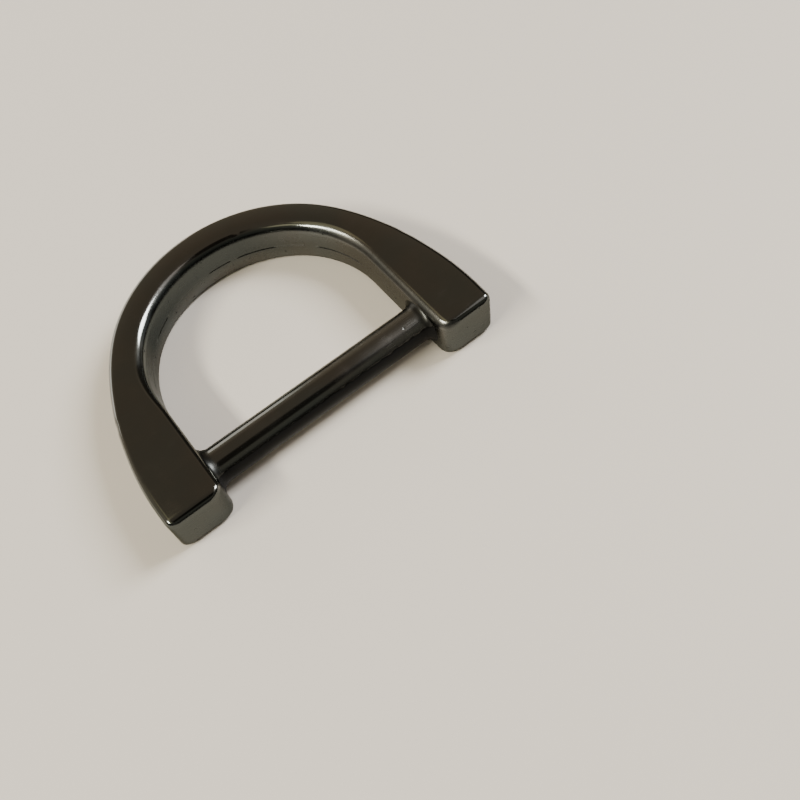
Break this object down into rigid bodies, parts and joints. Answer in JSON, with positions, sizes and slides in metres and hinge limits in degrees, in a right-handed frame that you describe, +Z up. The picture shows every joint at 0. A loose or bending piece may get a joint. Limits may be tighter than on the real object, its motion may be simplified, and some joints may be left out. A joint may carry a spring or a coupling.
{
  "type": "d ring",
  "caption": "Flat-faced cast D ring: a bow that widens into straight legs joined by a round bar, for a strap on the bar and a hook or cord in the bow.",
  "frame": {"origin": "middle of the ring's outline, on its flat underside", "axes": "+X along the bar, +Y from the bar to the top of the bow, +Z up out of the top face"},
  "size_m": [0.0296, 0.022, 0.0042],
  "materials": {
    "gunmetal": "polished black-nickel plating over cast zinc"
  },
  "bodies": {
    "root": {"d_ring": "gunmetal"}
  },
  "joints": []
}
